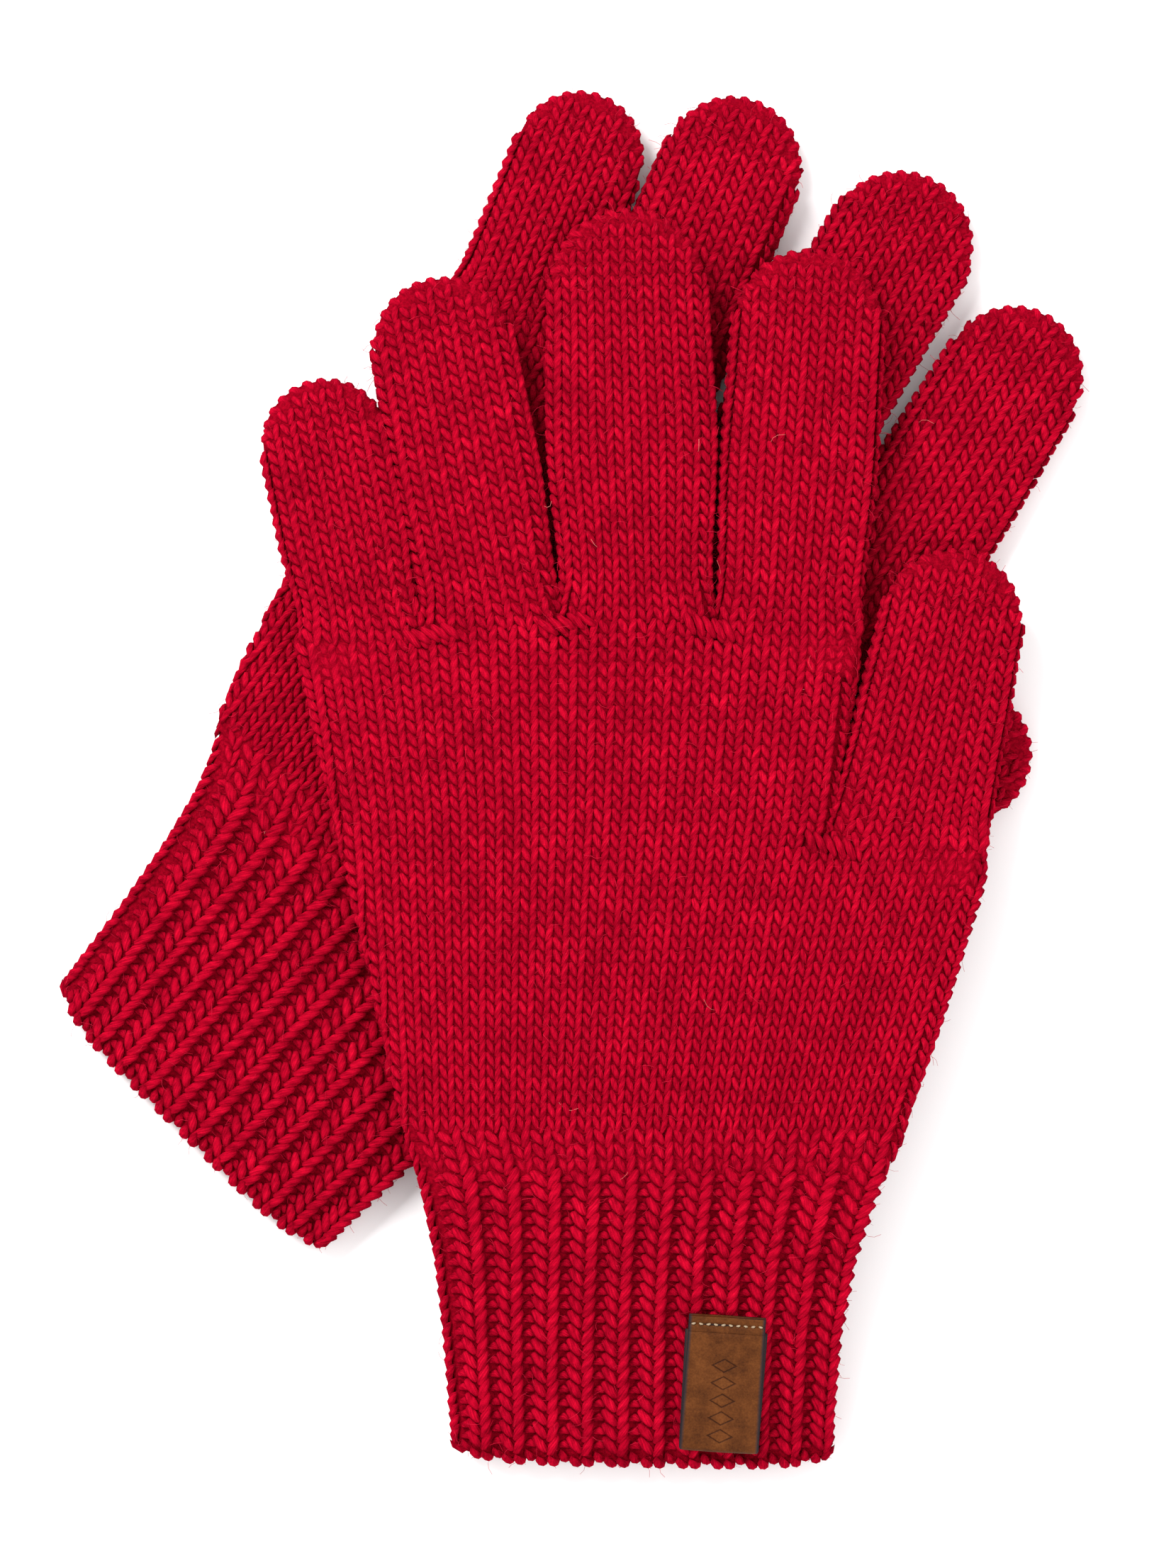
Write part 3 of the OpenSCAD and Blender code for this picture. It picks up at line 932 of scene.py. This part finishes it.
def hand_edges(glove, y):
    """The left and the right side of the hand at a height."""
    right = HAND_RIGHT_LOW if y < thumb_top(glove) else HAND_RIGHT_HIGH
    return straight_between(y, HAND_LEFT[glove]), straight_between(y, right)


def wale_lean(x, y):
    """How far a wale moves sideways for each millimetre up."""
    return math.tan(math.radians(straight_between(x, LOW_LEAN if y < FAN_ROW else HIGH_LEAN)))


def side_lean(glove, x, y, lean):
    """Near a side, a stitch turns until it lies along the outline."""
    middle, ring = hand_section(glove, y)
    side = 1 if x > middle else 0
    slope = (hand_edges(glove, y - 0.2)[side] - hand_edges(glove, y - 2.2)[side]) / 2
    share = min(max((abs(x - middle) - ring.shape[0] + 4) / 4, 0), 1)
    return lean + (slope - lean) * share


def wale_x(k, y):
    """Where wale k crosses the row at y, before it is laid over the rounded sides."""
    x = FIRST_WALE + WALE * k
    return x + (y - FAN_ROW) * wale_lean(x, y)


HAND_SECTIONS = {}


def hand_section(glove, y):
    """The middle and the outline of the hand at a height."""
    key = (glove, round(y, 2))
    if key not in HAND_SECTIONS:
        left, right = hand_edges(glove, y)
        HAND_SECTIONS[key] = ((left + right) / 2, Section((right - left) / 2, HAND_B, HAND_POWER))
    return HAND_SECTIONS[key]


def hand_point(glove, y, x, face, lift=0.35):
    """The point of a face that is x across, where x beyond the edge means cloth that has turned down."""
    middle, ring = hand_section(glove, y)
    reach = ring.length / 4
    distance = reach - (x - middle) if face > 0 else ring.length * 0.75 + (x - middle)
    (px, z), n = ring.at(distance)
    return (middle + px + n[0] * lift, y, z + n[2] * lift), n


# %% [markdown]
# ### Sorting the hand's stitches
# The last rows of the palm go with the fingers, because that cloth has to stretch when a finger folds. The
# rest stays on the hand, its front and its back as two pieces.

# %% Hand stitches
def nearest_finger(glove, x, y):
    """The finger whose strip of palm a stitch belongs to."""
    if x > CROTCH_X and y < 0:
        return 4
    return min(range(4), key=lambda n: abs(FINGERS[glove][n].local(x, y)[0]) / STRIP_W[glove][n])


def hand_sites(glove):
    """Sorts the stitches of a hand: its own front and back, and the last rows, which go with the fingers."""
    own = {1: [], -1: []}
    strips = [[] for _ in range(5)]
    top = TOP_ROW[glove]
    for row in range(round((top - HAND_END[glove]) / COURSE)):
        v = top - COURSE * (row + 0.5)
        for k in range(50):
            x = wale_x(k, v)
            thumb_side = x > CROTCH_X and v < thumb_top(glove)
            y = v
            if not thumb_side:
                y += (palm_top(glove, x) - top) * smooth_between(v, ((top - 18, 0.0), (top, 1.0)))
            middle, ring = hand_section(glove, min(v, y) if thumb_side else y)
            if abs(x - middle) > ring.length / 4 + 0.3:
                continue
            step = (wale_x(k + 1, v) - wale_x(k - 1, v)) / 2
            near_end = v > (thumb_top(glove) if thumb_side else top) + STRIP_START
            for face in (1, -1):
                point, n = hand_point(glove, y, x, face)
                lean = side_lean(glove, x, y, wale_lean(x, y))

                def up_the_wale(d, point=point, n=n, lean=lean):
                    return (point[0] + d * lean, point[1] + d, point[2]), n
                here, right, up, out, _ = site(glove, up_the_wale, 0.6, (1, 1, 1))
                wide = spread(hand_point(glove, y, x - step / 2, face, CREST),
                              hand_point(glove, y, x + step / 2, face, CREST))
                stitch = (here, right, up, out, (wide, 1.0, 1.0))
                (strips[nearest_finger(glove, x, y)] if near_end else own[face]).append(stitch)
    return own, strips


def hand_ground(glove):
    """The hand's ground ends just inside the fingers, and steps in where the thumb leaves it."""
    outer, inner = [], []
    rows = list(np.linspace(HAND_END[glove] - 2.0, thumb_top(glove) - 0.05, 22))
    rows += list(np.linspace(thumb_top(glove) + 0.05, TOP_ROW[glove] - 3.0, 16))
    for y in rows:
        middle, ring = hand_section(glove, y)
        for loops, lift, fill in ((outer, GROUND_LIFT, SIDE_FILL), (inner, GROUND_LIFT - WALL, 0.0)):
            loop = []
            for k in range(AROUND * 2):
                (px, z), n = ring.at(k / (AROUND * 2) * ring.length)
                n = n * (1 + fill * n[0] ** 4 / lift)
                loop.append(settle(glove, (middle + px + n[0] * lift, y, z + n[2] * lift), n)[0])
            loops.append(loop)
    return shell(glove + "_hand_ground", outer, inner)


# %% [markdown]
# ## The cuff
# One-by-one rib draws in: each knit wale stands up as a ridge, and each purl wale sinks out of sight between
# two ridges. So the ridges are wide knit stitches on the surface and the purls are small bumps set deep. The
# cuff narrows from the wrist to its hem, and the hem has round corners.

# %% Cuff shape
RIBS = 23
CUFF_TOP = HAND_END
RIB_COURSE = 2.55
FULL_RIB = 14.0
CUFF_B = {"upper": 3.9, "lower": 2.85}
CUFF_LEFT = {"upper": ((-126, -19.7), (-115, -20.3), (-100, -21.5), (-86, -23.0), (-76, -25.0), (-69, -27.0),
                       (-64, -28.8), (-60, -29.6)),
             "lower": ((-126, -18.6), (-115, -19.1), (-100, -20.1), (-86, -21.6), (-76, -23.4), (-69, -25.8),
                       (-64, -28.6), (-60, -29.6))}
CUFF_RIGHT = {"upper": ((-126, 47.6), (-115, 48.0), (-100, 49.3), (-86, 52.1), (-76, 55.7), (-69, 58.8),
                        (-64, 60.3), (-60, 61.3)),
              "lower": ((-126, 47.4), (-115, 48.2), (-100, 50.0), (-86, 53.0), (-76, 56.4), (-69, 59.2),
                        (-64, 60.7), (-60, 62.0))}
CUFF_POWER = 3.6
HEM_CORNER = {"upper": 2.1, "lower": 3.3}
HEM_TILT = {"upper": 1.2, "lower": 3.9}
CUFF_SECTIONS = {}


def cuff_section(glove, y):
    """The middle and the outline of the cuff at a height."""
    key = (glove, round(y, 2))
    if key not in CUFF_SECTIONS:
        left, right = straight_between(y, CUFF_LEFT[glove]), straight_between(y, CUFF_RIGHT[glove])
        b = smooth_between(y, ((-85, CUFF_B[glove]), (-66, HAND_B)))
        CUFF_SECTIONS[key] = ((left + right) / 2, Section((right - left) / 2, b, CUFF_POWER))
    return CUFF_SECTIONS[key]


def cuff_point(glove, y, share, lift):
    """Ribs are a little closer together in the middle of the wrist, and at the two sides of the hem."""
    middle, ring = cuff_section(glove, y)
    crowd = smooth_between(-y, ((62, 0.10), (124, -0.06)))
    share += crowd * math.sin(4 * math.pi * share) / (4 * math.pi)
    (x, z), n = ring.at(share * ring.length)
    across = x / ring.shape[0]
    near_hem = smooth_between(y - HEM_Y[glove], ((0, 1.0), (12, 0.0)))
    down = smooth_between(-y, ((64, 0.0), (121, 1.0)))
    y += HEM_CORNER[glove] * abs(across) ** 6 * near_hem - HEM_TILT[glove] * down * (across + 1) / 2
    return (middle + x + n[0] * lift, y, z + n[2] * lift), n


def rib_depth(glove, y):
    """Nought where the cuff meets the hand, and one where the rib is fully formed."""
    return smooth_between(CUFF_TOP[glove] - y, ((0, 0.0), (FULL_RIB, 1.0)))


def rib_pitch(glove, y, share):
    """The distance from one rib to the next, in millimetres."""
    a = np.array(cuff_point(glove, y, share - 0.25 / RIBS, 0.0)[0])
    b = np.array(cuff_point(glove, y, share + 0.25 / RIBS, 0.0)[0])
    return 2 * float(np.linalg.norm(a - b))


def rib_sites(glove):
    """Ridges and valleys start as plain wales side by side; then the ridges spread and the valleys sink."""
    plain, ridges, valleys = [], [], []
    rows = int((CUFF_TOP[glove] - HEM_Y[glove] - 1.2) / RIB_COURSE)
    for row in range(rows):
        y = CUFF_TOP[glove] - RIB_COURSE * (row + 0.5)
        deep = rib_depth(glove, y)
        for k in range(RIBS):
            ridge, valley = (k + 0.5) / RIBS, k / RIBS
            wide = rib_pitch(glove, y, ridge) / (2 * WALE)

            def add(target, share, lift, width):
                target.append(site(glove, lambda d: cuff_point(glove, y + d, share, lift), 1.0,
                                   (width, RIB_COURSE / COURSE, 1.0)))
            if deep < 0.6:
                add(plain, ridge, 0.35 + 0.4 * deep, wide * (1 + 0.2 * deep))
                add(plain, valley, 0.35 - 2.4 * deep, wide * (1 - 0.2 * deep))
            else:
                add(ridges, ridge, 0.2 + 0.3 * deep, wide * 1.30)
                add(valleys, valley, -0.75 * deep, wide * 0.8)
    return plain, ridges, valleys


# %% [markdown]
# ### Hem and ground of the cuff
# The cast-on edge is a row of plump loops that lie over the rim: two under each rib, and a smaller one in the
# dip between. The ground under the cuff follows the ribs outside and is smooth inside.

# %% Hem and cuff ground
HEM_LOOPS = ((0.33, 1.1, -0.45, 0.85), (0.67, 1.1, -0.45, 0.85), (0.0, 1.9, -1.2, 0.6))
LOOP_FITS = 6.2


def hem_sites(glove):
    """Each loop has a share of its rib, a rise above the hem, a lift off the ground, and a height."""
    sites = []
    for k in range(RIBS):
        for offset, rise, lift, tall in HEM_LOOPS:
            share = (k + offset) / RIBS
            y = HEM_Y[glove] + rise
            wide = rib_pitch(glove, y, share) / LOOP_FITS
            here, right, up, out, _ = site(
                glove, lambda d: cuff_point(glove, y + d, share, lift), 1.0, (1, 1, 1))
            sites.append((here, right, out, -up, (wide, tall, 1.0)))
    return sites


RIB_GROOVE = 1.3
POINTS_A_RIB = 8


def cuff_ground(glove):
    """The wall of the cuff: grooved outside between the ribs, smooth inside, open at the hem."""
    outer, inner = [], []
    around = RIBS * POINTS_A_RIB
    for y in np.linspace(HEM_Y[glove] + 1.2, CUFF_TOP[glove] + 1.0, 26):
        deep = rib_depth(glove, y)
        for k in range(2):
            loop = []
            for j in range(around):
                groove = 0.5 - 0.5 * math.cos(2 * math.pi * j / POINTS_A_RIB)
                lift = GROUND_LIFT - (1 - groove) * RIB_GROOVE * deep if k == 0 else -2.4 + 1.3 * (1 - deep)
                if k == 0:
                    lift += SIDE_FILL * (1 - deep) * cuff_point(glove, y, j / around, 0.0)[1][0] ** 4
                loop.append(settle(glove, *cuff_point(glove, y, j / around, lift))[0])
            (outer, inner)[k].append(loop)
    return shell(glove + "_cuff_ground", outer, inner)


print("loops in one hem:", len(hem_sites("upper")))

# %% [markdown]
# ## Crotch stitches
# Where two fingers meet, the knitter picks up a few stitches across the gap. They lie slanting and a little
# proud of the cloth, as a short chain.

# %% Crotch chains
CROTCH_STEP = 1.75


def crotch_sites(glove):
    """Slanting picked-up loops, side by side under each gap between two fingers."""
    sites = []
    fingers = FINGERS[glove]
    for n in range(4):
        left, right = (fingers[n], fingers[n + 1])
        edge_l = np.array(left.on(1.0, 0.0)[0])
        edge_r = np.array(right.on(1.0, 0.5)[0])
        middle = (edge_l + edge_r) / 2 if n < 3 else np.array((CROTCH_X + 1.0, thumb_top(glove) + 1.5, 0))
        flip = 1 if n < 2 else -1
        for k in range(-2, 3):
            px = middle[0] + (k + 0.5 * flip) * CROTCH_STEP
            py = middle[1] - 0.8 + 0.35 * k * flip
            for face in (1, -1):
                proud = 0.95 if face > 0 else -0.3
                here, out = settle(glove, (px, py, face * (HAND_B + proud)), np.array((0, 0, float(face))))
                _, across = settle(glove, (px, py, 0), np.array((1.0, 0.25 * flip, 0)))
                across = (across - out * across.dot(out)) * flip
                across /= np.linalg.norm(across)
                sites.append((here, across, np.cross(out, across), out, (0.9, 1.1, 1.1)))
    return sites


print("picked-up loops on one glove:", len(crotch_sites("upper")))

# %% [markdown]
# ## Putting the gloves together
# The hand's pieces ride on the hand's body. The finger and cuff pieces only have their placement baked into
# their meshes, and ride on no body.

# %% Bodies and bends
BEND_BEFORE = 6.0
BEND_AFTER = 9.0


def bend_finger(piece, f):
    """Settles two points at the finger's root, which nothing uses, and bakes the piece's placement into its
    mesh.
    """
    for s in (-BEND_BEFORE, BEND_AFTER):
        point, _ = settle(f.glove, *f.to_glove(0, s, 0, np.array((0, 0, 1.0))))
    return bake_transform(piece)


def bend_cuff(piece):
    """Bakes the piece's placement into its mesh; the cuff is not folded or turned."""
    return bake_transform(piece)


def triangles(piece):
    """How many triangles a piece has."""
    return sum(len(p.vertices) - 2 for p in piece.data.polygons)


# %% [markdown]
# ### Planting every piece
# The fingers come first, then the hand, then the cuff. The plain solids of the frame that the pieces stand
# for are hidden. The seeds are fixed, so every run gives the same wool.

# %% Both gloves
total = 0
for glove in ("lower", "upper"):
    own, strips = hand_sites(glove)
    for f in FINGERS[glove]:
        name = f"{glove}_{NAMES[f.n]}"
        ground = finger_ground(f)
        knit = plant(name + "_stitches", finger_sites(f) + strips[f.n], knit_stitch, seed=10 + f.n)
        rim = plant(name + "_tip_edge", tip_edge_sites(f), tip_lobe, seed=20 + f.n, uneven=0.09)
        for piece in (ground, knit, rim):
            bend_finger(piece, f)
            total += triangles(piece)
        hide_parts(name)
    ground = hand_ground(glove)
    front = plant(glove + "_hand_front_stitches", own[1], knit_stitch, seed=3)
    back = plant(glove + "_hand_back_stitches", own[-1], knit_stitch, seed=4)
    chains = plant(glove + "_crotch_chains", crotch_sites(glove), long_drop, seed=5, uneven=0.12)
    for piece in (ground, front, back, chains):
        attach(piece, glove + "_hand")
        total += triangles(piece)
    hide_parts(glove + "_hand")
    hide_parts(glove + "_crotch_stitches")
    plain, ridges, valleys = rib_sites(glove)
    cuff = cuff_ground(glove)
    hem = plant(glove + "_hem_lobes", hem_sites(glove), tip_lobe, seed=8, uneven=0.09)
    pieces = [cuff, plant(glove + "_wrist_stitches", plain, knit_stitch, seed=9),
              plant(glove + "_rib_ridges", ridges, rib_stitch, seed=6),
              plant(glove + "_rib_valleys", valleys, purl_bump, seed=7), hem]
    for piece in pieces:
        bend_cuff(piece)
        total += triangles(piece)
    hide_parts(*([glove + "_cuff"] + (["lower_cuff_end"] if glove == "lower" else [])))
    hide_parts(glove + "_hem")
    print(glove, "front stitches:", triangles(front), "total so far:", total)
for source in SOURCES:
    bpy.data.objects.remove(source)

# %% [markdown]
# ## Leather label
# A strip of hide is folded in two, and one row of stitches holds its open end to the cuff. Below the stitches
# the fold hangs free, and it can be lifted. So the sewn head and the hanging loop are two pieces.

# %% Label shapes
LABEL_AT = np.array((30.13, -96.04, 15.82))
LABEL_TURN = math.radians(-3.6)
CUFF_PITCH = math.radians(10.09)
HALF_STRIP = 7.0
HIDE = 0.5


def label_place(x, y, z):
    """From the label's own millimetres (y up the cuff, z off the wool) to the pile."""
    c, k = math.cos(LABEL_TURN), math.sin(LABEL_TURN)
    across, up = x * c - y * k, x * k + y * c
    tilt_c, tilt_k = math.cos(CUFF_PITCH), math.sin(CUFF_PITCH)
    return LABEL_AT + np.array((across, up * tilt_c - z * tilt_k, up * tilt_k + z * tilt_c))


def strip_piece(name, line, along_start, flare=0.0):
    """A strip of hide along a line of (y, z) points: a rounded flat section, capped, with UVs and edges."""
    line = [np.array(p, float) for p in line]
    ring = Section(HALF_STRIP, HIDE, 7.0)
    count = 56
    points, edge, uv, along = [], [], [], along_start
    for i, p in enumerate(line):
        ahead = line[min(i + 1, len(line) - 1)] - line[max(i - 1, 0)]
        ahead /= np.linalg.norm(ahead)
        normal = np.array((ahead[1], -ahead[0]))
        if i:
            along += float(np.linalg.norm(p - line[i - 1]))
        last = i in (0, len(line) - 1)
        for k in range(count):
            (x, t), _ = ring.at(k / count * ring.length)
            grow = 1 + flare * along / 22
            spot = p + normal * t * (0.97 if last else 1.0)
            wave = 0.10 * math.sin(x * 0.55 + along * 0.35)
            points.append(label_place(x * grow, spot[0], spot[1] + wave) * MM)
            edge.append(1.0 if abs(x) > HALF_STRIP - 0.25 else 0.0)
            uv.append((x, along))
    faces = []
    for i in range(len(line) - 1):
        for k in range(count):
            n = (k + 1) % count
            faces.append((i * count + k, i * count + n, (i + 1) * count + n, (i + 1) * count + k))
    faces.append(tuple(range(count))[::-1])
    faces.append(tuple((len(line) - 1) * count + k for k in range(count)))
    mesh = bpy.data.meshes.new(name)
    mesh.from_pydata([Vector(p) for p in points], [], faces)
    mesh.attributes.new("edge", "FLOAT", "POINT").data.foreach_set("value", edge)
    layer = mesh.uv_layers.new(name="UVMap")
    for loop in mesh.loops:
        layer.data[loop.index].uv = uv[loop.vertex_index]
    mesh.materials.append(LEATHER)
    mesh.shade_smooth()
    mesh.update()
    return mesh


def joined(name, meshes):
    """Puts several meshes into one object."""
    parts = []
    for mesh in meshes:
        part = bpy.data.objects.new(name, mesh)
        scene.collection.objects.link(part)
        parts.append(part)
    if len(parts) > 1:
        with bpy.context.temp_override(active_object=parts[0], selected_editable_objects=parts):
            bpy.ops.object.join()
    return parts[0]


def face_outward(piece):
    """Turns every face of a closed piece outwards."""
    bm = bmesh.new()
    bm.from_mesh(piece.data)
    bmesh.ops.recalc_face_normals(bm, faces=bm.faces)
    bm.to_mesh(piece.data)
    bm.free()


# %% [markdown]
# ### Folding the hide
# The strip's front layer bows a little, turns round the fold and comes back under itself. The sewn head has a
# dent where the thread pulls the hide down.

# %% Label loop and head
TOP_Z, BACK_Z = 2.1, 0.85
FOLD_Y = -24.25
fold_r = (TOP_Z - BACK_Z) / 2
front_line = [(y, TOP_Z + 0.12 * math.sin((y + 2.9) / 6.8)) for y in np.linspace(-2.90, FOLD_Y, 30)]
arc = [(FOLD_Y - fold_r * math.sin(t), BACK_Z + fold_r + fold_r * math.cos(t))
       for t in np.linspace(0.25, 2.9, 10)]
back_line = [(y, BACK_Z) for y in np.linspace(FOLD_Y, -2.92, 16)]
loop = joined("label_loop", [strip_piece("label_loop", front_line + arc + back_line, 0.0, 0.035)])
head_front = [(y, TOP_Z - 0.42 * math.exp(-((y + 1.5) / 0.42) ** 2)) for y in np.linspace(-0.05, -2.88, 22)]
head_back = [(y, BACK_Z) for y in np.linspace(-0.05, -2.88, 6)]
layers = [strip_piece("label_head", head_front, -3.0), strip_piece("label_back", head_back, -3.0)]
head = joined("label_head", layers)
for piece in (loop, head):
    face_outward(piece)
print("label triangles:", triangles(loop) + triangles(head))

# %% [markdown]
# ### Thread, and how the label moves
# Ten short stitches hold both layers to the cuff. They and the sewn head ride on the cuff, and the free loop
# hangs just below them as a piece of its own.

# %% Label thread
THREAD_STITCHES = 10


def thread_meshes():
    """A near-black strip laid in the dent that the thread pulls into the hide, as painted shade, and small
    waxed stitches lying in it, a little askew.
    """
    stitches = []
    for k in range(THREAD_STITCHES):
        x = -HALF_STRIP + 0.9 + k * (2 * HALF_STRIP - 1.8) / (THREAD_STITCHES - 1)
        tilt = 0.10 * (-1) ** k
        path = [(x - 0.4, -1.45 - tilt, 2.15), (x, -1.42, 2.62), (x + 0.4, -1.42 + tilt, 2.15)]
        stitches.append(yarn_piece(path, 0.22, 0.18))
    # Painted shade: a dark strip along the needle line stands for the shade in the dent under the stitches.
    groove = [yarn_piece([(-6.8, -1.47, 2.18), (0, -1.45, 2.21), (6.8, -1.47, 2.18)], 0.42, 0.12)]
    meshes = []
    for parts, finish in ((stitches, THREAD), (groove, GROOVE_SHADE)):
        placed = [([label_place(*p) for p in part[0]], part[1], part[2]) for part in parts]
        source = yarn_mesh("label_thread", placed)
        source.data.materials.append(finish)
        meshes.append(source.data)
        bpy.data.objects.remove(source)
    return meshes


thread = joined("label_thread", thread_meshes())
face_outward(thread)
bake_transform(loop)
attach(head, "upper_cuff")
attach(thread, "upper_cuff")
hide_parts("label_loop")
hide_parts("label_head")
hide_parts("label_thread")
total += triangles(loop) + triangles(head) + triangles(thread)
print("triangles in the whole object:", total)

# %% [markdown]
# ## Table
# The gloves lie on a white table, which is only a stage: it shows their shadow.

# %% Table
table_mesh = bpy.data.meshes.new("table")
table_mesh.from_pydata([(-3, -3, 0), (3, -3, 0), (3, 3, 0), (-3, 3, 0)], [], [(0, 1, 2, 3)])
table = bpy.data.objects.new("table", table_mesh)
scene.collection.objects.link(table)
paper = Recipe("White table")
white = paper.finish(Base_Color=(0.93, 0.93, 0.93, 1), Roughness=0.9, Specular_IOR_Level=0.1)
table_mesh.materials.append(white)
print("table finish:", white.name)
